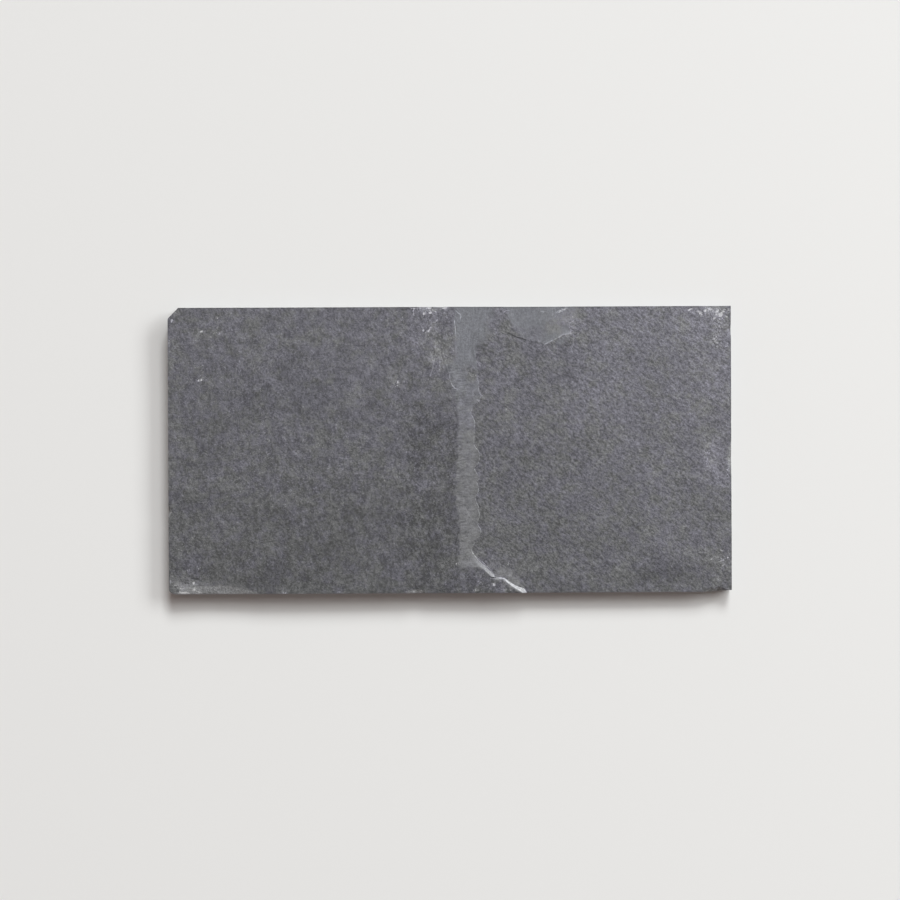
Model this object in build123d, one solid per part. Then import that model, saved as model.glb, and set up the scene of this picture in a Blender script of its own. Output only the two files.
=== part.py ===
from build123d import *
import math
import os

# A slate tile for walls and floors. Its four edges are sawn, its back is ground flat, and its
# face is split along the cleavage of the stone and left as it broke. It lies face up.
# Sizes are in millimetres. X runs along the tile, Y across it, and Z up from the ground back.
# The origin is the middle of the back.

# Sawn blank
tile_length = 305.0
tile_width = 155.0

# Cleavage beds. The left half of the face broke on a higher bed than the right half.
lower_bed_height = 9.0
lamina_thickness = 0.4
riser_height = 1.1

# Waves and lean of the split face
long_wave_length = 170.0
long_wave_rise = 0.22
cross_wave_length = 104.0
cross_wave_rise = 0.15
face_lean_along = 0.06
face_lean_across = -0.08

# Smooth riser between the two beds. Each pair is the riser's top and then its foot, as X
# from the middle of the tile and Y as a share of half the width, from the back edge forwards.
riser_stations = [
    ((3.6, 1.00), (20.5, 1.00)),
    ((2.8, 0.87), (20.0, 0.86)),
    ((3.6, 0.73), (14.4, 0.73)),
    ((3.6, 0.64), (13.2, 0.65)),
    ((0.4, 0.58), (13.4, 0.58)),
    ((0.9, 0.46), (14.6, 0.45)),
    ((3.6, 0.41), (14.9, 0.39)),
    ((4.0, 0.28), (11.0, 0.28)),
    ((4.5, 0.19), (12.4, 0.18)),
    ((4.3, 0.03), (12.4, 0.03)),
    ((3.4, -0.14), (12.4, -0.14)),
    ((3.2, -0.34), (12.7, -0.34)),
    ((5.5, -0.50), (14.0, -0.51)),
    ((5.2, -0.67), (10.9, -0.69)),
    ((5.3, -0.80), (12.6, -0.75)),
    ((13.0, -0.82), (18.0, -0.82)),
    ((20.0, -0.86), (22.0, -0.865)),
    ((23.8, -0.905), (24.4, -0.900)),
    ((29.0, -0.907), (29.0, -0.902)),
    ((33.9, -0.955), (34.8, -0.945)),
    ((38.5, -1.00), (40.4, -1.00)),
]

# Broken lip of the thin lamina under the riser. Each row is a point where two scallops meet,
# as above, and how far the scallop that runs on from it swells towards the lower bed.
lip_scallops = [
    ((22.1, 1.00), 0.0),
    ((21.5, 0.80), 0.0),
    ((15.9, 0.73), 0.0),
    ((14.2, 0.67), 0.0),
    ((15.6, 0.44), 2.0),
    ((14.2, 0.32), 0.0),
    ((11.9, 0.27), 0.5),
    ((13.6, 0.19), 0.0),
    ((13.2, 0.03), 2.7),
    ((13.3, -0.134), 1.6),
    ((14.6, -0.22), 1.4),
    ((13.5, -0.333), 1.5),
    ((15.1, -0.525), 2.0),
    ((11.7, -0.705), 0.4),
    ((16.9, -0.79), 0.0),
    ((23.9, -0.888), 0.0),
    ((29.4, -0.896), 0.0),
    ((31.4, -0.920), 0.0),
    ((35.5, -0.942), 0.0),
    ((41.4, -1.00), 0.0),
]

# Shallow scar where a thin flake came away from the back edge
scar_corners = [
    (28.2, 0.0), (31.2, 7.2), (34.0, 14.0), (36.6, 16.1), (51.8, 20.5),
    (61.0, 15.6), (65.4, 14.4), (64.9, 9.2), (67.8, 7.3), (68.2, 0.0),
]
scar_depth_at_edge = 0.7
scar_depth_inside = 0.25

# Conchoidal spalls along the arrises: how long each is on the arris, how far it reaches in
# over the face, and how deep it runs down the sawn edge
front_left_spall = (46.0, 5.0, 0.9)
front_middle_spall = (11.0, 2.2, 0.9)
front_right_spall = (13.0, 1.9, 3.2)
back_middle_spall = (9.0, 3.0, 1.2)
back_notch = (5.0, 0.9, 2.0)
back_right_spall = (15.0, 3.6, 0.8)
right_upper_spall = (9.0, 1.3, 1.4)
right_middle_spall = (17.0, 2.0, 0.9)
left_lower_spall = (6.0, 1.2, 1.5)
left_middle_spall = (5.0, 1.0, 0.8)

# Corner broken off right through the tile, back left
corner_break_along = 5.6
corner_break_across = 5.9
corner_break_lean = 8.0

# Corner worn round, front left
corner_wear_along = 4.0
corner_wear_across = 2.7

# Room that cutting solids reach past what they cut
overshoot = 12.0
surface_step = 16.0


def on_tile(x, share):
    """A point of the plan, from X in millimetres and Y as a share of half the width."""
    return (x, share * tile_width / 2)


def riven_height(x, y):
    """Height of the lower bed over the back: a level, two long waves and a slight lean."""
    long_wave = math.sin(2 * math.pi * (x / long_wave_length + y / (3 * long_wave_length)))
    cross_wave = math.sin(2 * math.pi * (y / cross_wave_length - x / (4 * cross_wave_length)) + 1.0)
    lean = x * math.tan(math.radians(face_lean_along)) + y * math.tan(math.radians(face_lean_across))
    return lower_bed_height + long_wave_rise * long_wave + cross_wave_rise * cross_wave - lean


def spread(half_length):
    """Evenly spaced places from one side of the tile to the other, past both."""
    reach = half_length + overshoot
    count = math.ceil(2 * reach / surface_step)
    return [-reach + 2 * reach * i / count for i in range(count + 1)]


def bed_surface(rise):
    """A cleavage surface that lies a given rise above the lower bed, larger than the tile."""
    rows = [
        [Vector(x, y, riven_height(x, y) + rise) for y in spread(tile_width / 2)]
        for x in spread(tile_length / 2)
    ]
    return Face.make_surface_from_array_of_points(rows, tol=0.005, min_deg=3, max_deg=5)


def bed_block(rise):
    """A block of stone, larger than the tile, whose top is the cleavage surface at a rise."""
    size_along = tile_length + overshoot
    size_across = tile_width + overshoot
    block = extrude(Rectangle(size_along, size_across), amount=lower_bed_height + rise + overshoot)
    return split(block, bisect_by=bed_surface(rise), keep=Keep.BOTTOM)


def past_the_edges(points):
    """A row of plan points carried on past the tile's back and front edges."""
    reach = tile_width / 2 + overshoot
    return [(points[0][0], reach)] + points + [(points[-1][0], -reach)]


def close_on_the_left(points, level):
    """Flat face at a level that covers all of the plan to the left of a row of points."""
    far_left = -(tile_length / 2 + overshoot)
    corners = [(far_left, points[-1][1]), (far_left, points[0][1])]
    return Pos(0, 0, level) * make_face(Polyline(*points, *corners, close=True))


def riser_line(level):
    """Where the riser passes through a level plane: a row of points from back to front.

    Each station's slope runs from its foot on the lamina to its top on the upper bed, and is
    carried on in the same direction to reach levels above and below."""
    points = []
    for top_place, foot_place in riser_stations:
        crest = Vector(*on_tile(*top_place), 0)
        foot = Vector(*on_tile(*foot_place), 0)
        crest_height = riven_height(crest.X, crest.Y) + lamina_thickness + riser_height
        foot_height = riven_height(foot.X, foot.Y) + lamina_thickness
        share = (level - foot_height) / (crest_height - foot_height)
        place = foot + (crest - foot) * share
        points.append((place.X, place.Y))
    return past_the_edges(points)


def scalloped_lip():
    """The lamina's broken edge: scallops that meet in points, each an arc or a straight line."""
    points = [on_tile(*place) for place, swell in lip_scallops]
    swells = [swell for place, swell in lip_scallops]
    lines = []
    for start, end, swell in zip(points, points[1:], swells):
        run = Vector(*end) - Vector(*start)
        if swell == 0:
            lines.append(Line(start, end))
            continue
        outward = Vector(-run.Y, run.X).normalized()
        middle = (Vector(*start) + Vector(*end)) / 2 + outward * swell
        lines.append(ThreePointArc(start, (middle.X, middle.Y), end))
    reach = tile_width / 2 + overshoot
    far_left = -(tile_length / 2 + overshoot)
    around = [(points[-1][0], -reach), (far_left, -reach), (far_left, reach), (points[0][0], reach)]
    return make_face(Curve() + lines + Polyline(points[-1], *around, points[0]))


def spall(x, y, outward, rise, size):
    """Ball that bites a conchoidal spall out of the arris near a point of the plan.

    The ball cuts the face in a circle that gives the spall's length and its reach over the
    face, and cuts the sawn edge in a circle that gives the same length and its depth."""
    length, reach, depth = size
    face_radius = (length**2 / 4 + reach**2) / (2 * reach)
    edge_radius = (length**2 / 4 + depth**2) / (2 * depth)
    arris = Vector(x, y, riven_height(x, y) + rise)
    centre = arris + Vector(*outward, 0) * (face_radius - reach) + Vector(0, 0, edge_radius - depth)
    return Pos(centre) * Sphere(math.hypot(face_radius, edge_radius - depth))


def flake_scar():
    """Room of the lost flake: its floor leans down to the back edge, its sides stand up."""
    edge = tile_width / 2
    near, far = scar_corners[0], scar_corners[-1]
    inner = max(scar_corners, key=lambda corner: corner[1])
    floor_points = []
    for (x, inward), depth in ((near, scar_depth_at_edge), (far, scar_depth_at_edge), (inner, scar_depth_inside)):
        floor_points.append(Vector(x, edge - inward, riven_height(x, edge - inward) - depth))
    along = floor_points[1] - floor_points[0]
    normal = (floor_points[2] - floor_points[0]).cross(along)
    if normal.Z < 0:
        normal = -normal
    floor = Plane(origin=floor_points[0], x_dir=along, z_dir=normal)
    plan = [(near[0], overshoot)] + [(x, -inward) for x, inward in scar_corners] + [(far[0], overshoot)]
    outline = [(x - near[0], y) for x, y in plan]
    return extrude(floor * make_face(Polyline(*outline, close=True)), amount=overshoot)


half_length = tile_length / 2
half_width = tile_width / 2
upper_rise = lamina_thickness + riser_height

# The block under the lower bed, the lamina on it, and the upper bed with its riser
tile = bed_block(0)

lamina = extrude(Pos(0, 0, lower_bed_height / 2) * scalloped_lip(), amount=overshoot)
tile += bed_block(lamina_thickness) & lamina

foot_level = lower_bed_height - riser_height / 2
crest_level = lower_bed_height + upper_rise + riser_height / 2
riser = loft(
    [close_on_the_left(riser_line(foot_level), foot_level), close_on_the_left(riser_line(crest_level), crest_level)],
    ruled=True,
)
tile += bed_block(upper_rise) & riser
tile -= flake_scar()
tile &= extrude(Rectangle(tile_length, tile_width), amount=crest_level + overshoot)

# Spalls, named after the edge of the tile that each one is on
forward, backward, leftward, rightward = (0, -1), (0, 1), (-1, 0), (1, 0)
spalls = [
    spall(on_tile(-0.84 * half_length, 0)[0], -half_width, forward, upper_rise, front_left_spall),
    spall(-0.12 * half_length, -half_width, forward, upper_rise, front_middle_spall),
    spall(0.945 * half_length, -half_width, forward, 0, front_right_spall),
    spall(-0.085 * half_length, half_width, backward, upper_rise, back_middle_spall),
    spall(-0.03 * half_length, half_width, backward, upper_rise, back_notch),
    spall(0.94 * half_length, half_width, backward, 0, back_right_spall),
    spall(half_length, 0.84 * half_width, rightward, 0, right_upper_spall),
    spall(half_length, -0.07 * half_width, rightward, 0, right_middle_spall),
    spall(-half_length, -0.42 * half_width, leftward, upper_rise, left_lower_spall),
    spall(-half_length, 0.45 * half_width, leftward, upper_rise, left_middle_spall),
]
for bite in spalls:
    tile -= bite

# The broken corner: one face right through the tile, that leans in under the split face
break_start = Vector(-half_length, half_width - corner_break_across, 0)
break_end = Vector(-half_length + corner_break_along, half_width, 0)
run = break_end - break_start
outward = Vector(-run.Y, run.X, 0).normalized()
outward = outward + Vector(0, 0, math.tan(math.radians(corner_break_lean)))
tile = split(tile, bisect_by=Plane(origin=break_start, x_dir=run, z_dir=outward), keep=Keep.BOTTOM)

# The worn corner: a narrow rounded fall from top to bottom
wear = extrude(
    make_face(
        Curve()
        + ThreePointArc(
            (-half_length, corner_wear_across - half_width),
            (0.32 * corner_wear_along - half_length, 0.32 * corner_wear_across - half_width),
            (corner_wear_along - half_length, -half_width),
        )
        + Polyline(
            (corner_wear_along - half_length, -half_width),
            (corner_wear_along - half_length, -half_width - overshoot),
            (-half_length - overshoot, -half_width - overshoot),
            (-half_length - overshoot, corner_wear_across - half_width),
            (-half_length, corner_wear_across - half_width),
        )
    ),
    amount=crest_level + overshoot,
)
tile -= wear

os.makedirs("parts", exist_ok=True)
export_step(tile, "parts/slate_tile.step")
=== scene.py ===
# %% [markdown]
# # A slate tile
# The object is one piece of sawn slate, 305 mm long, 155 mm wide and about 10 mm thick. Its four
# edges were sawn, its back was ground flat, and its face was split along the cleavage of the
# stone and left as it broke. This lesson loads the measured solid first, because every later
# shape has to agree with it.

import math

import bpy
import numpy as np
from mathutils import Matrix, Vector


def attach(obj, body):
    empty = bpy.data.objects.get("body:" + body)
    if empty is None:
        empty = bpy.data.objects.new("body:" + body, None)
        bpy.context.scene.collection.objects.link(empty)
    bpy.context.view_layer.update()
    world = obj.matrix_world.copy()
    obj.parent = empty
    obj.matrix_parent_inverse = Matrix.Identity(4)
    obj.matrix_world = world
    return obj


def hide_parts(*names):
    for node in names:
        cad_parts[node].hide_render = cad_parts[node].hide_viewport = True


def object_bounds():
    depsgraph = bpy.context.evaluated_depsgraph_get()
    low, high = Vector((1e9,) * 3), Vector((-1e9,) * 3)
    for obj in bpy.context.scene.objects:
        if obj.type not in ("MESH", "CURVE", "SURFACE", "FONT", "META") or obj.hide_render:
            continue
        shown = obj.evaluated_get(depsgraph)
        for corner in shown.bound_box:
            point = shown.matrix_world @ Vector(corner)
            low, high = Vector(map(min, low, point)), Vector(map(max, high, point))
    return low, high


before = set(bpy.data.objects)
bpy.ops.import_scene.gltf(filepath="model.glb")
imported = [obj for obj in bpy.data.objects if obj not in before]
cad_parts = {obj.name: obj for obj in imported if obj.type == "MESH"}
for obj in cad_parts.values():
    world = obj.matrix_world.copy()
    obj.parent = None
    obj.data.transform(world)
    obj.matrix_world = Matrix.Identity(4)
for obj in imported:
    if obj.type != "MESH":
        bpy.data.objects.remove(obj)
cad_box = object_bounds()
print("solid box in metres:", [[round(float(v), 4) for v in corner] for corner in cad_box])

# %% [markdown]
# ## Sizes
# All shapes below are worked out in millimetres, in the frame of the solid: X runs along the
# tile, Y across it, Z up out of the face, and the origin is the middle of the back. The outer
# sizes are read from the solid. The beds, the riser and the spalls repeat the values that the
# solid was made with, so that the detailed skin lies on it.

# %% Sizes of the tile in millimetres
MM = 0.001
HALF_LENGTH = round(float(cad_box[1][0]) / MM, 3)
HALF_WIDTH = round(float(cad_box[1][1]) / MM, 3)
# mean level of the lower bed, thickness of the lamina on it, and rise to the upper bed
LOWER_BED = 9.0
LAMINA = 0.4
RISER = 1.1
# broken back left corner, worn front left corner, and wear of the edge at the front right
CORNER_ALONG = 5.6
CORNER_ACROSS = 5.9
WEAR_ALONG = 4.0
WEAR_ACROSS = 2.7
FRONT_RIGHT_WEAR = 1.0
# run of the lip's steep face, and how far the skin lies under the solid, as room for its grain
LIP_WIDTH = 0.32
SETTLE = 0.22
print("half length and half width:", HALF_LENGTH, HALF_WIDTH)

# %% [markdown]
# ## The lines of the break
# The left half of the face broke on a higher cleavage bed than the right half. Between the two
# the stone broke across its layers. Two lines bound that riser: its crest on the left, and on
# the right the lip of a thin lamina, which ends in small scallops. Both run from the back edge
# to the front edge, so each is a list of places with falling Y, and its X at any Y is a straight
# blend between two of them.

# %% Crest and lip of the riser
CREST = [
    (3.6, 77.5), (3.4, 74.2), (3.1, 71.5), (2.7, 67.7), (3.2, 62.9), (3.5, 59.6), (3.7, 54.2),
    (3.6, 49.4), (0.3, 46.6), (0.5, 42.3), (0.8, 37.9), (1, 34.7), (2.4, 33), (3.7, 31.7), (3.7, 29.2),
    (3.9, 22.7), (4.5, 18.9), (4.4, 5.4), (4.1, -2.7), (3.3, -6), (4.4, -8.7), (3.3, -11.9),
    (3.2, -21.7), (3.2, -29.8), (4.2, -33.6), (5.6, -38), (5.5, -48.8), (4.9, -59.6), (5, -62.6),
    (12.2, -63.2), (15, -63.4), (16.6, -63.9), (18.7, -65.2), (20.9, -67.3), (22.5, -68.9), (23.6, -70),
    (29, -70.3), (30.2, -71.4), (31.7, -72.6), (33.4, -74), (35.6, -75.4), (37.6, -76.6), (39, -77.9),
]
LIP = [
    (22.1, 77.5), (21.8, 70.4), (21.5, 62.2), (19.3, 58.4), (16, 56.8), (14.4, 54.1), (14.1, 50.9),
    (14.9, 45.5), (15.4, 38.4), (15.9, 36.2), (15.6, 34.6), (15.9, 31.9), (17, 29.7), (16.2, 27),
    (14.3, 24.9), (12.3, 22.7), (11.8, 21.1), (11.9, 18.9), (12.9, 17.3), (13.7, 15.1), (13.5, 11.9),
    (13.3, 8.6), (13.2, 2.9), (14.1, 1), (15.5, -0.3), (16.2, -2), (16.2, -4.4), (15.6, -6.8),
    (14.9, -8.5), (13.6, -9.1), (13.3, -10.4), (14.4, -12.5), (15.6, -13.9), (15.9, -16.1),
    (14.6, -17.1), (15.1, -19.6), (15.6, -21.7), (15.1, -23.6), (13.5, -25.8), (14.3, -28.2),
    (15.6, -31), (15.6, -33.1), (16.2, -35.3), (15.3, -38), (15.1, -40.7), (16.4, -42.6), (16.9, -44),
    (16.4, -45.6), (15.6, -47.2), (14.2, -48.8), (13.4, -49.9), (12.6, -51.5), (12, -53.2),
    (11.6, -54.8), (12.3, -56.1), (13.4, -57.5), (15.2, -59.7), (16.9, -61.3), (18.8, -62.9),
    (20.4, -64.6), (22, -66.2), (23.3, -67.8), (23.8, -69.1), (29, -69.5), (29.9, -69.9), (31.2, -70.9),
    (33.1, -72.3), (35.3, -73.6), (37.8, -74.6), (39.4, -74.9), (40.4, -75.9), (41.2, -77.2),
    (41.4, -77.9),
]
print(len(CREST), "places on the crest and", len(LIP), "on the lip")

# %% [markdown]
# ## Scar and spalls
# A flake came off the back edge to the right of the riser and left a shallow, smooth scar. At
# the arrises, small conchoidal spalls were bitten out by blows. Each is the mark of a ball,
# so a few numbers describe it: where it is, how long it is, how far it reaches into the face
# and down the edge, and how pale its fresh stone is.

# %% Scar and spalls
SCAR = [
    (28, 78.5), (29.4, 74.1), (31.2, 70.3), (33.1, 67.1), (34.2, 63.3), (36.6, 61.4), (41, 60),
    (46.9, 58.3), (51.8, 57), (56.7, 59.4), (61, 61.9), (65.4, 62.9), (65.1, 66.9), (64.9, 68.3),
    (67.8, 70.2), (66.5, 74.5), (68.5, 78.5),
]
SCAR_DEPTH_EDGE = 0.7
SCAR_DEPTH_INSIDE = 0.25

# place along the arris, the side it is on, the bed above it, length, reach, depth and paleness
SPALLS = [
    (-128.1, "front", "upper", 46, 5, 0.9, 1),
    (-18.3, "front", "upper", 11, 2.2, 0.9, 0.8),
    (144.1, "front", "lower", 13, 1.9, 3.2, 0.8),
    (-13, "back", "upper", 9, 3, 1.2, 0.25),
    (-4.6, "back", "upper", 5, 0.9, 2, 0.4),
    (143.4, "back", "lower", 15, 3.6, 0.8, 0.35),
    (65.1, "right", "lower", 9, 1.3, 1.4, 0),
    (-5.4, "right", "lower", 17, 2, 0.9, 0.8),
    (-32.6, "left", "upper", 6, 1.2, 1.5, 0.6),
    (34.9, "left", "upper", 5, 1, 0.8, 0.6),
]
print("scar outline of", len(SCAR), "corners,", len(SPALLS), "spalls")

# %% [markdown]
# ## Marks on the face
# Its marks make this tile one that could be picked out of a stack. Stains are soft patches
# where the stone is a little darker or paler. Bruises are places where a blow crushed the stone
# to pale powder, and specks are the smallest of them. Smooth spots broke with less grain than
# the stone around them. In warm spots the cast leans from violet to green. All of these are
# ellipses in millimetres, judged and listed from left to right.

# %% Stains, bruises and spots
# middle X and Y, long and short radius, turn of the long radius in degrees, change of brightness
STAINS = [
    (-145, -71.6, 2.6, 0.8, 0, -0.4), (-143.9, 37.6, 7, 7, 0, 0.05), (-143.7, 69.6, 8, 7, 0, -0.11),
    (-143.2, 53.4, 8, 7, 0, -0.05), (-142.7, -73.5, 11.2, 3.65, 0, 0.92),
    (-141, -71.8, 4.6, 0.9, 0, -0.3), (-138.7, -26.6, 4.6, 2.8, 0, -0.18), (-136, 8, 16, 9, 70, -0.06),
    (-133, -71, 4, 1, 0, -0.25), (-133, -12, 14, 12, 0, -0.03), (-127.8, 23.4, 8, 8, 0, -0.1),
    (-121, 0, 14, 11, 0, -0.06), (-120, 62, 14, 6, 20, 0.07), (-118, -76, 10, 1.6, 0, 0.25),
    (-114, -8, 9, 5, 50, 0.06), (-112.4, -38.4, 8, 7, 0, -0.07), (-112, -52, 14, 6, 20, -0.1),
    (-106, -72, 14, 4, 0, -0.13), (-104, 60, 6, 4, 70, -0.1), (-102.4, 29.3, 6, 4, 30, -0.28),
    (-97.6, -67.8, 8, 6, 0, -0.16), (-97.6, 67.7, 8, 7, 0, -0.08), (-92, -38, 12, 3.6, -55, -0.14),
    (-91.6, 41, 18, 3.4, 44, -0.2), (-88, -12, 12, 8, 20, 0.09), (-86, 22, 14, 3.6, -18, -0.22),
    (-83.6, -38.4, 8, 8, 0, -0.07), (-81, 33, 12.5, 8, 0, -0.18), (-80, 62, 12, 5, -20, 0.05),
    (-79, -54, 17, 6, 0, -0.06), (-70, -36, 60, 13, 0, -0.02), (-68.3, -67.4, 8, 6, 0, -0.16),
    (-68.2, 67.6, 8, 7, 0, -0.05), (-68, 33, 10, 3.4, 60, -0.18), (-60, -60, 10, 5, -20, -0.08),
    (-60, -8, 9, 6, 0, 0.04), (-60, 52, 9, 5, 10, -0.05), (-57, -42, 14, 6, 60, -0.11),
    (-54, 19, 9, 2.4, -50, -0.1), (-53.2, -52.4, 8, 7, 0, -0.06), (-53, -23.2, 8, 6, 0, 0.07),
    (-52.3, 23.2, 7, 6, 0, 0.15), (-50, 31, 6.5, 5.5, 0, 0.24), (-48, -8, 10, 5, 30, 0.05),
    (-41.7, 26.5, 9.5, 2.4, 62, -0.24), (-37.4, 22.7, 8, 6, 0, -0.07), (-36.6, -8, 8, 6, 0, -0.06),
    (-36, -28, 7, 4, -40, -0.1), (-35.8, -38.2, 9.4, 7.5, 0, -0.215), (-33.6, -54.2, 6, 4.2, 60, 0.13),
    (-28, 37.4, 2.6, 2.2, 0, 0.15), (-26, -57, 7, 2.6, 80, -0.1), (-22, -68, 24, 7, 0, 0.05),
    (-22, 45, 8, 10, 0, 0.08), (-17.4, -50.4, 12.4, 9, 0, -0.115), (-14.3, 65.4, 11.3, 9.5, 0, 0.235),
    (-12, 4, 12, 6, 85, -0.09), (-9, -50, 10, 6, 70, -0.07), (-7, 11, 6.5, 12.5, 0, -0.125),
    (-6.5, 21, 13, 5, 80, -0.12), (-5, 40.6, 2.6, 2.6, -60, -0.22), (-4.6, -20.5, 7.5, 3.2, 84, 0.22),
    (-4, 53, 6, 7.5, 0, 0.43), (-3, 42, 2, 1.6, 0, -0.35), (0, -32, 18, 4, 92, -0.13),
    (0.8, 43, 6, 2.4, -58, 0.16), (0.8, 70, 5, 3, 0, -0.12), (4.9, 32.5, 5, 6, 0, 0.08),
    (5, 67, 8.5, 9.5, 0, 0.125), (11, -70, 8.5, 6, 0, 0.17), (13.2, 39, 4, 3.6, 0, 0.05),
    (13.4, 50.4, 1.3, 1, 0, -0.35), (17.5, -66.5, 5.5, 1.6, -20, -0.2), (17.6, 54, 1.6, 1.1, 0, -0.4),
    (19.8, 52.2, 1.4, 1, -40, -0.35), (23.4, -60, 6, 9, 0, 0.09), (25.8, -73.3, 6, 3.8, 0, 0.32),
    (26.5, 69.5, 8, 2.2, -52, -0.12), (30, 66.6, 6.5, 6.5, 0, 0.035),
    (32.5, -69.5, 6.5, 3.6, -30, 0.27), (40, -4.9, 6.5, 2.6, 100, -0.15), (42, 71, 10, 4, 0, 0.07),
    (51, 66, 5, 4, 0, -0.04), (52, -68, 9, 4, 10, -0.08), (60.6, -13.9, 11, 8, 0, -0.07),
    (63, -49, 12, 5, 20, -0.07), (64, 41.2, 4.5, 3.5, 0, -0.12), (66.5, 70.7, 8.3, 6.3, 0, 0.31),
    (76, -36, 14, 12, 0, 0.03), (84, -55.4, 9.5, 8, 10, -0.18), (86, 7.6, 3.2, 2.4, 60, -0.12),
    (92, -44, 18, 4, 12, -0.06), (94, 50, 9, 4, 30, -0.05), (98, -72, 16, 5, 0, -0.12),
    (98.6, 68.3, 8, 7, 0, 0.07), (98.7, -8, 8, 7, 0, -0.06), (99.6, 38.4, 8, 7, 0, -0.05),
    (103.5, 33, 6, 3.2, 60, -0.14), (110.6, -65.5, 13, 5.5, 0, -0.24), (112, 34, 6, 1.6, -5, -0.1),
    (122.8, 59.6, 4, 3, 0, -0.08), (123.3, 68.3, 1.8, 1.6, 0, 0.07), (124, -68.4, 18.5, 6.5, 0, -0.225),
    (129, -16.8, 5, 2.5, 20, -0.14), (129.2, -22.4, 8, 7, 0, -0.06), (140, 66, 14, 9, 0, 0.1),
    (142, -3, 5, 11, 0, 0.2), (143.5, -38, 7.5, 14, 0, -0.18), (144, -70.6, 3.6, 1.4, 10, 0.22),
    (147, -61, 6, 4, 100, 0.12),
]
# middle X and Y, long and short radius, turn, strength
BRUISES = [
    (-152, 60, 2.5, 0.7, 90, 0.6), (-151.4, -70.4, 0.8, 1.4, 0, 1), (-151.2, -33, 1.4, 0.9, 90, 0.95),
    (-148.6, -72.6, 2.2, 0.7, 0, 0.7), (-148.6, 75, 1.6, 0.8, 45, 0.6), (-146, -76.4, 5, 0.8, 0, 0.7),
    (-145, -74, 5, 0.7, 0, 0.6), (-144, -76.8, 3, 0.5, 0, 0.8), (-139, -64, 6, 0.8, 12, 0.55),
    (-136.2, -76.4, 1.8, 0.6, -25, 1.1), (-127, -75.4, 3, 0.7, -35, 0.5),
    (-112.2, -75.2, 1.2, 0.8, 0, 0.8), (-91, -77, 3, 0.6, 0, 0.6), (-59, -77, 5.5, 0.7, 0, 0.7),
    (-28.6, 35, 1.6, 1, 60, 0.6), (-25.6, 71.6, 1.8, 1.2, 60, 0.55), (-19.6, 73.6, 1.6, 0.7, 80, 0.75),
    (-19, 76.6, 2.6, 0.6, 0, 0.75), (-18, -76.6, 7.5, 0.8, 0, 0.75), (-14.2, 65, 1.4, 0.6, 65, 1),
    (-12.6, 63.8, 1.6, 0.5, 62, 0.6), (-12, 75.4, 9, 2, 0, 0.26), (-11, 71, 9, 6, 0, 0.2),
    (-11, 77, 2.6, 0.6, 0, 0.8), (-10.9, 65, 1.7, 0.6, 62, 1.1), (-7.6, 69.4, 2, 0.7, 62, 0.75),
    (-7.6, 75.3, 1.4, 0.5, -50, 0.8), (-6.4, 50, 4.4, 2.2, 0, 0.34), (-3.8, 45.5, 1.4, 0.8, 0, 0.5),
    (-2.6, 76.8, 2, 0.7, 10, 1), (-1.8, 46.9, 1.5, 0.9, -20, 0.5), (-1.4, 72.6, 2.4, 0.7, -50, 0.7),
    (8, -69, 8, 5, 0, 0.22), (11.6, 40.6, 1.2, 0.8, -30, 0.6), (13.5, -76.2, 1.6, 0.8, 0, 0.85),
    (14.2, 39.8, 1.4, 0.8, -50, 0.65), (16.5, -71.9, 3, 2, -60, 0.36), (25.6, -73.6, 5, 3, 0, 0.3),
    (29.3, -76, 1.2, 0.7, 0, 0.7), (50.6, 74.6, 1.6, 0.9, 0, 0.6), (56.8, 73.4, 1.4, 0.8, 20, 0.8),
    (59.6, 74.8, 1.2, 0.8, 40, 0.85), (62.4, 76, 2.4, 0.9, 30, 0.9), (129.9, 75.2, 0.8, 0.6, 60, 0.9),
    (130.6, 73.9, 0.7, 0.6, 0, 0.7), (131.3, 75.9, 1.5, 0.5, 15, 0.85),
    (134.6, 74.7, 0.8, 0.6, -30, 0.6), (135.9, 73.6, 0.9, 0.6, -45, 0.85),
    (136.6, 72.2, 0.7, 0.5, 60, 0.8), (137, 74.6, 8, 2.4, 0, 0.4), (138.6, 75, 0.8, 0.6, 60, 0.75),
    (139, -8, 3.4, 13, 0, 0.36), (139.6, -2, 1.2, 0.9, 60, 0.4), (141.5, 28.2, 2.4, 0.8, 0, 0.85),
    (141.8, 75.7, 1.4, 0.6, 0, 0.6), (143.4, 70.6, 0.9, 0.6, 20, 0.9), (144, -70.6, 2.6, 0.7, 10, 0.62),
    (144, 57.4, 0.8, 0.6, 0, 0.4), (144.6, 72.4, 0.8, 0.5, 0, 0.5), (145, 60, 5, 7, 0, 0.4),
    (145, 73.6, 7, 3.2, 0, 0.42), (145.3, 74.8, 0.9, 0.5, 40, 0.7), (146, -60, 5, 5, 0, 0.26),
    (147, -60.4, 1.6, 0.8, 20, 0.5), (147.5, 69, 4.5, 4, 0, 0.38), (148.6, 74.6, 1.1, 0.5, 40, 0.7),
    (150, 71.6, 0.8, 0.5, 30, 0.6), (150.4, 56, 1.2, 0.9, 60, 0.7), (150.6, -12, 5.5, 0.9, 90, 0.6),
    (150.6, 73.4, 0.8, 0.5, 40, 0.7),
]
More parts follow.
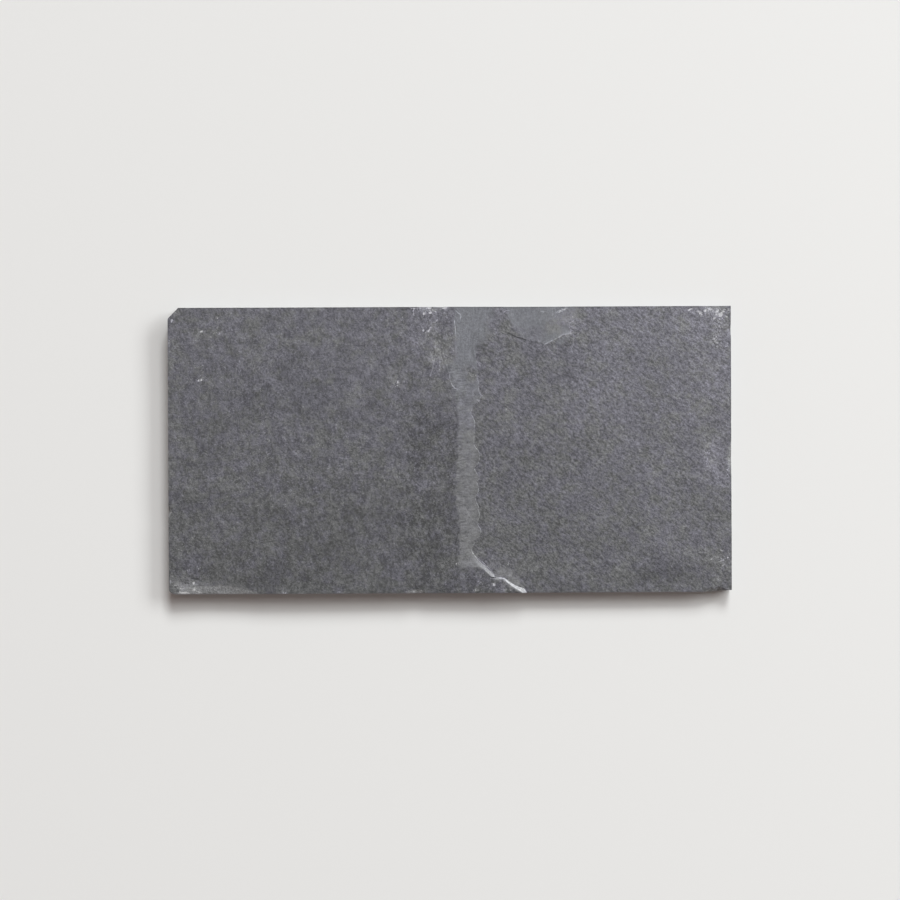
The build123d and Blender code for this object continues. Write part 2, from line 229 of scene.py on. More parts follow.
# middle X and Y and strength of the round ones, which share a radius
SPECKS = [
    (-150.2, 70.6, 1.15), (-148.4, 55.9, 0.65), (-138.9, -71.5, 1.5), (-138.8, -75, 1.4),
    (-136, 38.4, 1.05), (-134.3, 38.5, 1.15), (-134.2, 64.6, 1.25), (-134, 46.2, 0.8),
    (-127, 63.7, 0.95), (-125.4, 71.9, 1.05), (-124.5, 63.2, 0.95), (-107.4, -71.8, 0.7),
    (-89.5, -28.8, 0.8), (-73.7, 38.8, 0.8), (-30.1, 14.6, 0.75), (-28, 37, 1), (-13.8, 73.7, 1),
    (-10.3, 74.2, 1), (3.3, -61.5, 0.85), (10, 41.7, 0.6), (15.3, 26.8, 0.95), (23.4, -72.9, 1),
    (28, -58.7, 0.7), (29.8, -68.4, 0.8), (30.7, 22, 0.8), (31.5, -61.6, 0.9), (32, -75.5, 0.75),
    (67, 72, 0.7), (69, 60, 0.6), (119.8, -62.9, 0.8), (121.8, -54.8, 0.75), (141.4, -60, 0.8),
    (143.4, -68.2, 0.7), (143.6, 60, 0.6), (145.8, 55.6, 0.45), (147, -54.8, 0.75), (147, 72.6, 1),
    (147.4, -63.4, 0.75), (150.2, -59, 1), (151.3, 75.4, 0.95),
]
SPECK_RADIUS = 0.85
# middle X and Y, long and short radius, turn, change of smoothness
SMOOTH_SPOTS = [
    (-139, -74.3, 12, 3, 0, 0.8), (-115.5, -75, 8, 2.4, 0, 0.6), (-4.6, -20.5, 7.5, 3.2, 84, 0.5),
    (0.8, 43, 6, 2, -58, 0.9), (6.3, 27.5, 3, 5, 0, 0.3), (9.4, 43.5, 3.4, 3, 0, -0.55),
    (12.6, 40, 5, 4.4, 0, -0.8), (24.5, 73, 4, 5, 0, 0.35), (27.4, -66.8, 2.6, 2.6, 0, 1),
    (31.9, -65.7, 1.8, 3, 0, 0.9), (34.8, -71.2, 4.6, 2.4, -30, 1), (60.4, 59.4, 4.6, 2, 12, 0.8),
    (67, 73, 8, 4, 0, 0.45),
]
# middle X and Y, long and short radius, turn, how far the cast goes from violet to green
WARM_SPOTS = [
    (-140.5, -60, 8, 4, 30, -0.6), (-105, 64, 24, 9, 0, 0.35), (-92, 12, 16, 10, 0, -0.22),
    (-88, -60, 14, 9, 0, -0.2), (-82, 37, 40, 12, 0, -0.28), (-30, -62, 5, 9, 0, -0.7),
    (-18, 14, 14, 10, 0, -0.22), (-6, 33, 4, 6, 0, 0.5), (-3, 52.6, 6.5, 7.5, 0, 1),
    (11, -70, 8, 5, 0, -0.7), (13.2, 39, 4, 3.6, 0, 1), (25.4, -73.4, 5, 3.4, 0, -0.9),
    (30, 66.6, 5, 5, 0, 0.9), (34, 50, 12, 4, -20, 0.7), (56.4, 66.2, 6, 4.6, 0, 0.9),
    (67.8, 72.6, 9.5, 5.2, 0, 1), (76, -24, 13, 20, 0, -0.28), (77.5, 10.6, 5, 11, 0, 0.6),
    (114, -60, 28, 12, 0, -0.4), (122.8, 59.6, 3.6, 2.2, 0, 0.8), (123.3, 68.3, 3, 2.8, 0, 0.8),
    (143, 70, 9, 6, 0, 0.25), (145, -8, 5, 16, 0, -0.3),
]
print(len(STAINS), "stains,", len(BRUISES), "bruises,", len(SPECKS), "specks")
print(len(SMOOTH_SPOTS), "smooth spots,", len(WARM_SPOTS), "warm spots")

# %% [markdown]
# Hairlines are the thin bright edges and the dark cracks of flakes. The bright ones are partly
# paler fresh stone and partly painted highlight where an edge catches the lamps. Each is a short
# path of straight pieces with a strength.

# %% Hairlines
BRIGHT_HAIRLINES = [
    (1.3, [(3.6, 75.2), (4.6, 74.3), (5.6, 73.6), (6.2, 72.2), (5.8, 71.2)]),
    (1.4, [(2.7, 70.4), (2.9, 67.7), (3.2, 65), (3.3, 62.4)]),
    (0.55, [(3.3, 65.2), (3.3, 63.4), (3.4, 61.5)]),
    (0.25, [(3.3, 60.7), (3.4, 55.3), (3.7, 48.8)]),
    (0.5, [(-0.2, 40.9), (0.2, 38.5), (0.8, 36.3)]),
    (1, [(0.8, 36.3), (1.6, 34.7), (2.9, 33.3), (4.5, 32.9)]),
    (0.4, [(4.5, 32.9), (6.6, 32.8)]),
    (0.6, [(-7.6, 53.1), (-8.4, 47.7), (-9.5, 43.4), (-10.6, 39.6)]),
    (0.4, [(-8, 59), (-7.6, 53.1)]),
    (0.4, [(-5.3, 50.4), (-5.5, 45.5)]),
    (0.35, [(-3.4, 52), (-1.6, 46), (-0.4, 42)]),
    (0.9, [(12, -55.2), (13.6, -57.7), (15.8, -59.5), (18, -61.4), (20.2, -63.6), (22.3, -65.8),
        (24, -68.6)]),
    (0.6, [(18.7, -65.2), (20.9, -67.2), (22.6, -68.8), (23.9, -69.5)]),
    (0.8, [(23.9, -69.3), (29.4, -69.6)]),
    (1.4, [(29.6, -70.2), (31.4, -71.8), (33.2, -73.3), (35.6, -75), (38.2, -76.4), (39.8, -77.4)]),
    (1, [(33.4, -72.8), (35.6, -74), (37.8, -74.9), (39.4, -75.2), (41, -77.2)]),
    (0.5, [(15, 39), (15.7, 36.2)]),
    (0.6, [(15.6, 34.1), (16.1, 32.4), (17, 30.5), (17.3, 29.2)]),
    (0.8, [(29.4, 74.5), (30.5, 75.3), (32.4, 75.6)]),
    (0.8, [(51.8, 57.1), (54, 58.3), (56.7, 59.6), (59.9, 61.3), (61.6, 62.3), (65.4, 62.9)]),
    (0.7, [(67.8, 70.2), (67, 69.6), (64.8, 68.3), (65.1, 66.9), (65.6, 64.2), (65.4, 62.9)]),
    (0.3, [(67, 68), (67.3, 56.6)]),
    (0.3, [(66.1, 57.2), (66.4, 52.3)]),
    (0.2, [(52.4, 70.2), (58.4, 72.6)]),
    (0.25, [(83, 36.4), (92, 36.6)]),
    (0.2, [(33.2, -10.8), (36.4, -13.8), (37.6, -18.6)]),
    (0.25, [(-38.8, -53), (-35.8, -49.4), (-32, -48.4)]),
    (0.2, [(4, -30), (5.8, -35.2), (6.2, -38.2)]),
    (0.2, [(8, -31), (10.6, -36), (12.6, -38.4)]),
    (0.5, [(134.6, -56), (138.4, -56.2)]),
]
DARK_HAIRLINES = [
    (1.2, [(30.2, 63.9), (32.3, 63.2), (34.4, 62)]),
    (1.4, [(34.4, 62), (36.6, 60.9), (38.6, 60.4), (41.6, 59.3)]),
    (0.55, [(41, 59.7), (43.1, 58.9), (46.9, 58.1), (51.2, 56.7)]),
    (0.6, [(51.2, 56.7), (54, 56.8), (60.5, 56.6), (64.2, 56.5)]),
    (0.35, [(23.1, 75.2), (26.4, 72)]),
    (0.3, [(19, -2), (23, -4), (25.4, -8)]),
    (0.8, [(-149.2, -73.6), (-147.8, -74.6), (-147.2, -76.4)]),
    (0.35, [(131, 63), (134, 61.6), (137, 60.4)]),
    (1.1, [(-145.5, -70.6), (-143.6, -71.4), (-141.7, -71.5)]),
    (0.8, [(-27, 76.1), (-20, 76.3), (-14.5, 75.8), (-12.4, 74.9)]),
    (0.7, [(-4, 60.4), (-4.2, 64), (-2.4, 68)]),
    (1.1, [(-140.1, -69), (-138.2, -69.4), (-136.3, -69.1)]),
]
print(len(BRIGHT_HAIRLINES), "bright hairlines and", len(DARK_HAIRLINES), "dark ones")

# %% [markdown]
# ## Grain fields
# Broken slate has relief at many sizes at once. A lattice of random numbers that is blended
# smoothly between its points gives lumps of one size. Adding lumps of several sizes gives the
# grain. The lattice is seeded, so the stone is the same in every run.

# %% Smooth random lumps
def lumps(x, y, size, seed, turn=0.0, stretch=1.0):
    """Random field from about -1 to 1 with lumps of one size in mm.

    The plane is turned, so that the first axis points along the turn in degrees, and the lumps
    are longer by the stretch along it. Four lattice values are blended by 6t^5 - 15t^4 + 10t^3."""
    angle = math.radians(turn)
    along = (x * math.cos(angle) + y * math.sin(angle)) / (size * stretch)
    across = (y * math.cos(angle) - x * math.sin(angle)) / size
    low_along, low_across = np.floor(along).astype(int), np.floor(across).astype(int)
    part_along, part_across = along - low_along, across - low_across
    lattice = np.random.default_rng(seed).uniform(-1.0, 1.0, (256, 256))

    def at(i, j):
        return lattice[(low_along + i) % 256, (low_across + j) % 256]

    fade_along = part_along**3 * (part_along * (6 * part_along - 15) + 10)
    fade_across = part_across**3 * (part_across * (6 * part_across - 15) + 10)
    near = at(0, 0) * (1 - fade_along) + at(1, 0) * fade_along
    far = at(0, 1) * (1 - fade_along) + at(1, 1) * fade_along
    return near * (1 - fade_across) + far * fade_across


def ragged(x, y, reach, size, seed):
    """The same places, each moved by up to the reach in mm, which makes a smooth outline ragged."""
    return x + reach * lumps(x, y, size, seed), y + reach * lumps(x, y, size, seed + 1)


def ease(value, low, high):
    """Smooth step: 0 at low, 1 at high, and 3t^2 - 2t^3 between. Low may be the larger one."""
    part = np.clip((value - low) / (high - low), 0.0, 1.0)
    return part * part * (3 - 2 * part)


# %% [markdown]
# ## Distances
# Most marks start from a distance: how far is this place from the lip, from the scar's outline,
# from a crack? A signed distance changes evenly across its line. The mesh can then keep it at
# points nearly a millimetre apart, and the finish still draws the line sharply between them.

# %% Lines and distances on the face
def line_x(points, y):
    """X of a line that runs from back to front, at every Y: straight between its points."""
    xs = np.array([p[0] for p in points])
    ys = np.array([p[1] for p in points])
    return np.interp(y, ys[::-1], xs[::-1])


def along_and_apart(x, y, start, end):
    """For one straight piece: the share along it, unclipped, and the distance in mm to it."""
    run_x, run_y = end[0] - start[0], end[1] - start[1]
    share = ((x - start[0]) * run_x + (y - start[1]) * run_y) / (run_x**2 + run_y**2)
    held = np.clip(share, 0.0, 1.0)
    return share, np.hypot(x - start[0] - held * run_x, y - start[1] - held * run_y)


def distance_to_path(x, y, path):
    """Shortest distance in mm from each place to a path of straight pieces."""
    nearest = np.full(x.shape, 1e9)
    for start, end in zip(path, path[1:]):
        nearest = np.minimum(nearest, along_and_apart(x, y, start, end)[1])
    return nearest


def signed_distance(x, y, points):
    """Distance to a line from back to front, positive to the left of it."""
    return np.where(x < line_x(points, y), 1.0, -1.0) * distance_to_path(x, y, points)


def inside(x, y, corners):
    """True inside a closed outline: a ray to the right crosses the outline an odd number of times."""
    odd = np.zeros(x.shape, bool)
    for (ax, ay), (bx, by) in zip(corners, corners[1:] + corners[:1]):
        spans = (ay > y) != (by > y)
        meets = ax + (y - ay) * (bx - ax) / (by - ay if by != ay else 1e-9)
        odd ^= spans & (x < meets)
    return odd


def near_hairlines(x, y, lines, reach=2.2, end_fade=0.8):
    """Signed distance to the nearest hairline, and how strongly that line shows here.

    The sign is the side of the nearest piece. The strength fades to 0 at the reach and past a
    line's ends, because the sign also changes there, where no line should show."""
    nearest = np.full(x.shape, 1e9)
    signed, strength = np.full(x.shape, 9.0), np.zeros(x.shape)
    for power, path in lines:
        last = len(path) - 2
        for number, (start, end) in enumerate(zip(path, path[1:])):
            share, apart = along_and_apart(x, y, start, end)
            length = math.dist(start, end)
            past = np.where(share < 0, -share, share - 1) * length
            open_end = (share < 0) & (number == 0) | (share > 1) & (number == last)
            shown = power * np.where(open_end, ease(past, end_fade, 0.0), 1.0)
            run_x, run_y = end[0] - start[0], end[1] - start[1]
            side = np.sign(run_x * (y - start[1]) - run_y * (x - start[0]))
            closer = apart < nearest
            signed = np.where(closer, side * apart, signed)
            strength = np.where(closer, shown, strength)
            nearest = np.minimum(nearest, apart)
    return signed, strength * ease(nearest, reach, 0.6 * reach)


def blots(x, y, rows):
    """Sum of soft ellipses: each row's last number times exp(-r^2), with r = 1 on the ellipse."""
    total = np.zeros(x.shape)
    for middle_x, middle_y, long_radius, short_radius, turn, change in rows:
        angle = math.radians(turn)
        along = (x - middle_x) * math.cos(angle) + (y - middle_y) * math.sin(angle)
        across = (y - middle_y) * math.cos(angle) - (x - middle_x) * math.sin(angle)
        total += change * np.exp(-((along / long_radius) ** 2) - (across / short_radius) ** 2)
    return total


# %% [markdown]
# ## Height of the face
# The height is a function of X and Y, so each feature is one term of a sum. The scar and the
# spalls are cut out at the end, by taking the lower of two heights.

# %% Beds and riser
# height of each wave, its periods along X and Y, and its phase in radians
BED_WAVES = [(0.22, 170, 510, 0), (0.15, -416, 104, 1)]
# slope of the beds along X and Y in degrees
LEAN_ALONG = 0.06
LEAN_ACROSS = -0.08


def lower_bed(x, y):
    """The solid's lower bed: a level, less a slight lean, and the sines of its long waves."""
    lean = x * math.tan(math.radians(LEAN_ALONG)) + y * math.tan(math.radians(LEAN_ACROSS))
    level = LOWER_BED - lean
    for height, period_x, period_y, phase in BED_WAVES:
        level = level + height * np.sin(2 * math.pi * (x / period_x + y / period_y) + phase)
    return level


def riser_share(to_lip, to_crest):
    """0 at the lip, 1 at the crest: the distance from the lip over the riser's whole width.

    Half of a smooth step is blended in, which rounds the riser off at both ends."""
    from_lip, from_crest = np.maximum(to_lip - LIP_WIDTH, 0.0), np.maximum(-to_crest, 0.0)
    share = from_lip / (from_lip + from_crest + 1e-6)
    return 0.5 * share + 0.5 * ease(share, 0.0, 1.0)


print("lower bed at the middle:", round(float(lower_bed(np.float64(0), np.float64(0))), 3), "mm")

# %% Scar and spalls as surfaces
def scar_floor(x, y):
    """Plane through three points of the scar's floor: deeper at the back edge than inside."""
    near, far, inner = SCAR[0], SCAR[-1], SCAR[8]
    rows = []
    for (px, py), depth in ((near, SCAR_DEPTH_EDGE), (far, SCAR_DEPTH_EDGE), (inner, SCAR_DEPTH_INSIDE)):
        rows.append((px, py, float(lower_bed(np.float64(px), np.float64(py))) - depth))
    a, b, c = (np.array(row) for row in rows)
    normal = np.cross(b - a, c - a)
    return a[2] - (normal[0] * (x - a[0]) + normal[1] * (y - a[1])) / normal[2]


def spall_surface(x, y, shape):
    """Underside of the ball that bit the spall out, and a great height where no ball is overhead.

    The ball's centre is outside the arris and above it, placed so that the ball meets the face
    in an arc of the given length and reach, and the sawn edge in an arc of the given depth."""
    along, side, bed, length, reach, depth = shape
    face_radius = (length**2 / 4 + reach**2) / (2 * reach)
    edge_radius = (length**2 / 4 + depth**2) / (2 * depth)
    out = {"front": (0, -1), "back": (0, 1), "left": (-1, 0), "right": (1, 0)}[side]
    place_x = out[0] * HALF_LENGTH if out[0] else along
    place_y = out[1] * HALF_WIDTH if out[1] else along
    level = float(lower_bed(np.float64(place_x), np.float64(place_y))) - SETTLE
    level += LAMINA + RISER if bed == "upper" else 0.0
    centre_x = place_x + out[0] * (face_radius - reach)
    centre_y = place_y + out[1] * (face_radius - reach)
    radius = math.hypot(face_radius, edge_radius - depth)
    left = radius**2 - (x - centre_x) ** 2 - (y - centre_y) ** 2
    under = level + edge_radius - depth - np.sqrt(np.maximum(left, 0.0))
    return np.where(left > 0, under, 1e9)


# %% [markdown]
# The two beds do not feel alike. The left bed is fine and flaky, with low patches a few
# millimetres across. The right bed is pitted like orange peel, with pits that run down to the
# right, and the riser is almost smooth. The coarse part of that grain is real relief in the
# mesh. The finest part is left to the finish, as bump.

# %% Relief of the two beds
def flakes(x, y, size, seed):
    """Thin flakes that stop short: flat levels from 0 to 1, with steep rims where lumps cross 0."""
    return ease(lumps(x, y, size, seed) + 0.45 * lumps(x, y, 0.4 * size, seed + 1), -0.10, 0.10)


def grain_height(x, y, left_share, calm):
    """Relief of the grain in mm: thin flakes on the left bed, slanting pits on the right bed."""
    patches = 0.04 * lumps(x, y, 7.5, 11) + 0.04 * lumps(x, y, 3.8, 12, -65, 1.3)
    flaky = 0.10 * flakes(x, y, 9.0, 71) + 0.05 * flakes(x, y, 4.5, 73) - 0.07
    flaky = flaky + 0.06 * lumps(x, y, 2.0, 13, -65, 1.2)
    pebbles = 0.04 * lumps(x, y, 3.6, 21, -38, 1.3) + 0.07 * lumps(x, y, 1.9, 22, -38, 1.3)
    rough = left_share * (patches + flaky) + (1 - left_share) * (0.6 * patches + pebbles)
    return rough * (1 - 0.85 * calm)


# %% [markdown]
# The brightness changes slowly too, and the marks lie on it. The finish can't know
# where they are, so each of them is worked out here as a number for every place of the mesh.

# %% Brightness, stains, painted arris shade and the painted riser highlight
# Y, then the width and the strength of the painted highlight on the steep riser beside the lip
RISER_HIGHLIGHT_ROWS = [
    (-53, 0.2, 0), (-56.5, 1, 0.12), (-61, 2, 0.22), (-65, 1.6, 0.36), (-68.5, 1, 0.55),
    (-69.2, 0.7, 0.25), (-70.2, 0.8, 0.25), (-71, 1.2, 0.75), (-74, 1.4, 0.55), (-77.5, 2.6, 0.55),
]


def shaded_side(x, y):
    """1 on the dark part of the left bed, beside the riser and towards the front, else 0."""
    wandering = x + 2.0 * lumps(x, y, 4.0, 77) + 3.0 * lumps(x, y, 14.0, 78)
    return ease(wandering, -27.0, -20.0) * ease(y, 30.0, 10.0)


def contrast(x, y, on_left):
    """How strongly the grain shows as light and dark, against what it is on the left bed."""
    return 0.55 + on_left * (0.40 + 0.13 * ease(y, 25.0, -15.0) + 0.36 * shaded_side(x, y))


def brightness(x, y, on_left):
    """Slow change of brightness: a slope over each bed, and random lumps."""
    left = 0.900 + 0.0018 * y - 0.13 * shaded_side(x, y)
    right = 0.985 + 0.0022 * (x - 55.0) + 0.00155 * (y + 5.0) + 0.05 * ease(x, 38.0, 18.0)
    broad = 0.045 * lumps(x, y, 16.0, 61) + 0.030 * lumps(x, y, 11.0, 60)
    broad = broad + 0.035 * lumps(x, y, 7.0, 59)
    cloudy = 0.05 * lumps(x, y, 8.0, 62) + 0.08 * lumps(x, y, 3.8, 63, -65, 1.3)
    cloudy = cloudy + 0.05 * (flakes(x, y, 9.0, 71) - 0.5) + 0.04 * (flakes(x, y, 4.5, 73) - 0.5)
    cloudy = (cloudy + 0.07 * lumps(x, y, 2.2, 79, -65, 1.3)) * contrast(x, y, on_left)
    return (on_left * left + (1 - on_left) * right) * (1 + (1.4 - 0.15 * on_left) * broad + cloudy)


def stains_with_arris_shade(x, y):
    """The stains' factor of brightness, with ragged outlines, and painted shade on two of the arrises.
    """
    # painted shade: the back and right arrises are darkened where their worn slopes face the lamps
    painted_arris_shade = 0.30 * np.maximum(ease(HALF_WIDTH - y, 0.9, 0.2), ease(HALF_LENGTH - x, 0.9, 0.2))
    return 1 - painted_arris_shade + blots(*ragged(x, y, 3.0, 5.0, 64), STAINS)


def bruised(x, y):
    """Strength of the crushing: the bruises, and the specks, which are round."""
    round_ones = [(*middle, SPECK_RADIUS, SPECK_RADIUS, 0, power) for *middle, power in SPECKS]
    return blots(x, y, BRUISES + round_ones)


def painted_riser_highlight(y, to_lip, to_crest):
    """Painted highlight on the steep riser beside the lip: brighter and wider towards the front.

    The riser faces the lamps there. Its width and strength change with Y, as straight blends
    between the rows of RISER_HIGHLIGHT_ROWS."""
    rows = np.array(RISER_HIGHLIGHT_ROWS)[::-1]
    width, strength = (np.interp(y, rows[:, 0], rows[:, column]) for column in (1, 2))
    on_riser = ease(to_lip, -0.15, 0.2) * ease(to_crest, 0.35, -0.1)
    return on_riser * ease(to_lip, width + 0.5, width - 0.2) * strength


# %% Calm places, spalls and worn arrises
def lip_wear(y):
    """0 where the lip is crisp, 1 towards the back edge, where it is worn to a soft slope."""
    return ease(y, 50.0, 60.0)


def scar_outline(x, y):
    """Signed distance to the scar's outline, positive inside, and the width of its soft rim.

    The rim is wide at its left end and towards its back right corner, and narrow in front."""
    to_scar = np.where(inside(x, y, SCAR), 1.0, -1.0) * distance_to_path(x, y, SCAR)
    softness = np.interp(x, [33.0, 46.0], [3.6, 0.9])
    return to_scar, softness + 4.5 * ease(y, 64.0, 70.0) * ease(x, 50.0, 62.0)


def calmness(x, y, to_lip, on_left, to_scar, softness):
    """1 where the break is smooth, else 0: the larger of riser and scar, plus the smooth spots."""
    worn = lip_wear(y)
    lip_side = ease(to_lip + 2.0 * worn * lumps(x, y, 4.0, 67), -0.1 - 3.4 * worn, 0.3 + 4.0 * worn)
    in_scar = ease(to_scar + 0.6 * softness * lumps(x, y, 3.0, 68), -0.4 * softness, softness)
    grainy_front = ease(y + 1.5 * lumps(x, y, 3.0, 83), 70.0, 64.0) * ease(x, 56.0, 49.0)
    calm = np.maximum(lip_side * (1 - on_left), in_scar * (1 - 0.55 * grainy_front))
    return np.clip(calm + blots(*ragged(x, y, 1.0, 3.0, 75), SMOOTH_SPOTS), 0.0, 1.0)


def bite_spalls(x, y, level):
    """The lower of the level and each spall's ball, and how pale the fresh stone in them is."""
    fresh = np.zeros(x.shape)
    ragged_x, ragged_y = ragged(x, y, 0.7, 2.6, 43)
    rough = 0.07 * lumps(x, y, 1.5, 41) + 0.10 * lumps(x, y, 3.4, 42)
    for *shape, paleness in SPALLS:
        bitten = spall_surface(ragged_x, ragged_y, shape) + rough
        fresh = np.maximum(fresh, paleness * ease(level - bitten, 0.0, 0.10))
        level = np.minimum(level, bitten)
    return level, fresh


def arris_wear(x, y):
    """How far the arrises are rubbed down in mm: a little everywhere, and more in places."""
    from_rim = np.minimum(HALF_LENGTH - np.abs(x), HALF_WIDTH - np.abs(y))
    wear = 0.05 + 0.10 * np.maximum(lumps(x, y, 2.4, 45), 0.0)
    wear = wear + 0.22 * np.maximum(lumps(x, y, 7.0, 46) - 0.35, 0.0)
    return wear * ease(from_rim, 0.7, 0.0)


# %% Height of the whole face and the numbers that the finish reads
CRACK_DEPTH = 0.10


def face_height(x, y):
    """Height of the split face over the back in mm, and the numbers that the finish reads."""
    to_lip, to_crest = signed_distance(x, y, LIP), signed_distance(x, y, CREST)
    torn = 0.8 * lumps(x, y, 2.0, 66) + 0.6 * lumps(x, y, 1.6, 69, 4, 3.0)
    on_left = ease(to_crest + torn, -1.1, 1.5)
    to_scar, softness = scar_outline(x, y)
    calm = calmness(x, y, to_lip, on_left, to_scar, softness)

    worn = lip_wear(y)
    level = lower_bed(x, y) - SETTLE
    level = level + LAMINA * ease(to_lip, -3.0 * worn, 0.8 * LIP_WIDTH + 5.0 * worn)
    level = level + RISER * riser_share(to_lip, to_crest)
    level = level + grain_height(x, y, ease(to_crest, -0.6, 0.6), calm)
    scarred = np.minimum(level, scar_floor(x, y) - SETTLE + 0.05 * lumps(x, y, 6.0, 31))
    level = level + (scarred - level) * ease(to_scar, 0.0, 1.5 * softness)
    level, fresh = bite_spalls(x, y, level)
    level = level - arris_wear(x, y)

    glint, glint_power = near_hairlines(x, y, BRIGHT_HAIRLINES)
    crack, crack_power = near_hairlines(x, y, DARK_HAIRLINES)
    level = level - CRACK_DEPTH * crack_power * ease(np.abs(crack), 0.9, 0.0)
    return level, {
        "lip": to_lip,
        "left_bed": on_left,
        "calm": calm,
        "fresh": fresh,
        "tone": brightness(x, y, on_left),
        "contrast": contrast(x, y, on_left),
        "stain": stains_with_arris_shade(x, y),
        "band": painted_riser_highlight(y, to_lip, to_crest),
        "warm": blots(*ragged(x, y, 1.5, 3.0, 81), WARM_SPOTS),
        "bruise": bruised(x, y),
        "glint": glint,
        "glint_power": glint_power,
        "crack": crack,
        "crack_power": crack_power,
    }


# %% [markdown]
# ## One closed skin
# The face is a grid of rows and columns. Four blocks of columns lie side by side, and the lines
# between them run from back to front: two smooth guides keep the columns close together around
# the riser, and the lip itself is a line of the grid, so that its scallops stay crisp without a
# very fine mesh. The sawn edges hang from the rim of that grid in a few rows, and the ground
# back is one flat face that closes the skin.

# %% The grid's rows and columns
ROWS = 194
LEFT_COLUMNS = 190
RISER_COLUMNS = 42
LIP_COLUMNS = 16
RIGHT_COLUMNS = 166
RIM = (0.0, 0.35, 0.8)
LEFT_GUIDE = [(-4, 77.5), (-4, 40), (-0.5, 0), (0, -40), (3, -57), (12, -68), (24, -77.5)]
RIGHT_GUIDE = [(28, 77.5), (22, 55), (20.5, 0), (21, -50), (25, -60), (35, -69.5), (47, -77.5)]


def even_with_rim(count, length, low_rim, high_rim):
    """Shares from 0 to 1 in even steps, with closer lines beside each rim that is asked for."""
    shares = np.linspace(0.0, 1.0, count)
    rim = np.array(RIM) / length
    if low_rim:
        shares = np.concatenate([rim, shares[shares > rim[-1] + 0.3 / length]])
    if high_rim:
        shares = np.concatenate([shares[shares < 1 - rim[-1] - 0.3 / length], 1 - rim[::-1]])
    return shares


def rim_x(y):
    """X of the left and right sawn edges at every Y, with the broken and the worn corner."""
    broken = np.clip((y - (HALF_WIDTH - CORNER_ACROSS)) / CORNER_ACROSS, 0.0, 1.0)
    worn = np.clip((-HALF_WIDTH + WEAR_ACROSS - y) / WEAR_ACROSS, 0.0, 1.0)
    torn = lumps(y, 0 * y, 1.6, 51) * broken * (1 - broken)
    rounded = WEAR_ALONG * (1 - np.sqrt(1 - 0.999 * worn**2))
    return -HALF_LENGTH + CORNER_ALONG * broken + torn + rounded, np.full(y.shape, HALF_LENGTH)


def face_grid():
    """X and Y of every place on the grid: straight blends between rims, guides and lip.

    The front edge is eased back towards the right, where it is worn."""
    y = -HALF_WIDTH + 2 * HALF_WIDTH * even_with_rim(ROWS, 2 * HALF_WIDTH, True, True)
    left, right = rim_x(y)
    left_guide, right_guide, lip = line_x(LEFT_GUIDE, y), line_x(RIGHT_GUIDE, y), line_x(LIP, y)
    blocks = [
        (left, left_guide, even_with_rim(LEFT_COLUMNS, HALF_LENGTH, True, False)[:-1]),
        (left_guide, lip - LIP_WIDTH, np.linspace(0.0, 1.0, RISER_COLUMNS)),
        (lip, right_guide, np.linspace(0.0, 1.0, LIP_COLUMNS)[:-1]),
        (right_guide, right, even_with_rim(RIGHT_COLUMNS, HALF_LENGTH, False, True)),
    ]
    columns = [low[:, None] + (high - low)[:, None] * shares for low, high, shares in blocks]
    x = np.concatenate(columns, axis=1)
    y = np.repeat(y[:, None], x.shape[1], axis=1)
    near_corner = ease(x, 139.0, HALF_LENGTH + 2.0) * ease(y, -60.0, -HALF_WIDTH)
    return x, y + FRONT_RIGHT_WEAR * near_corner


face_x, face_y = face_grid()
face_z, face_numbers = face_height(face_x, face_y)
print("face grid:", face_x.shape)
print("height in mm from", round(face_z.min(), 2), "to", round(face_z.max(), 2))

# %% Rim and sawn edges
EDGE_ROWS = 10


def rim_loop(rows, columns):
    """Numbers of the grid's outer places, anticlockwise seen from above."""
    number = np.arange(rows * columns).reshape(rows, columns)
    return np.concatenate([number[0, :], number[1:, -1], number[-1, -2::-1], number[-2:0:-1, 0]])


def edge_rings(top):
    """Rings of places down the sawn edges, from the rim to the back.

    Z falls in even steps. The stone is set in by up to 0.12 mm where the saw wandered, and the
    arris of the back by up to 0.30 mm more, by shrinking each ring a little about its middle."""
    drops = np.linspace(0.0, 1.0, EDGE_ROWS + 1)[1:, None]
    x, y, z = (np.repeat(top[None, :, axis], EDGE_ROWS, axis=0) for axis in range(3))
    z = z * (1 - drops)
    round_the_edge = x + y
    inset = 0.06 * (1 + lumps(round_the_edge, z, 5.0, 52))
    inset[-1] += 0.15 * (1 + lumps(round_the_edge[-1], z[-1], 2.5, 53))
    inset[-2] += 0.10 * np.maximum(lumps(round_the_edge[-2], z[-2], 6.0, 54), 0.0)
    return np.stack([x * (1 - inset / HALF_LENGTH), y * (1 - inset / HALF_WIDTH), z], axis=-1)


# %% Grid, edges and back as one mesh
SAWN_EDGE = 1
GROUND_BACK = 2


def closed_skin(x, y, z):
    """Places and faces of the skin: the grid's squares, rows of squares down the rim, one back."""
    rows, columns = x.shape
    number = np.arange(rows * columns).reshape(rows, columns)
    squares = np.stack([number[:-1, :-1], number[:-1, 1:], number[1:, 1:], number[1:, :-1]], axis=-1)
    loop = rim_loop(rows, columns)
    grid = np.stack([x.ravel(), y.ravel(), z.ravel()], axis=1)
    places = np.concatenate([grid, edge_rings(grid[loop]).reshape(-1, 3)])
    count = len(loop)
    rings = [loop] + [rows * columns + count * row + np.arange(count) for row in range(EDGE_ROWS)]
    strips = []
    for upper, lower in zip(rings, rings[1:]):
        strips.append(np.stack([upper, lower, np.roll(lower, -1), np.roll(upper, -1)], axis=1))
    return places, squares.reshape(-1, 4), np.concatenate(strips), rings[-1][::-1]


def keep_number(mesh, name, values):
    """Stores one number for each place of the mesh under a name that the finish can read."""
    mesh.attributes.new(name, "FLOAT", "POINT").data.foreach_set("value", values.astype(np.float32))


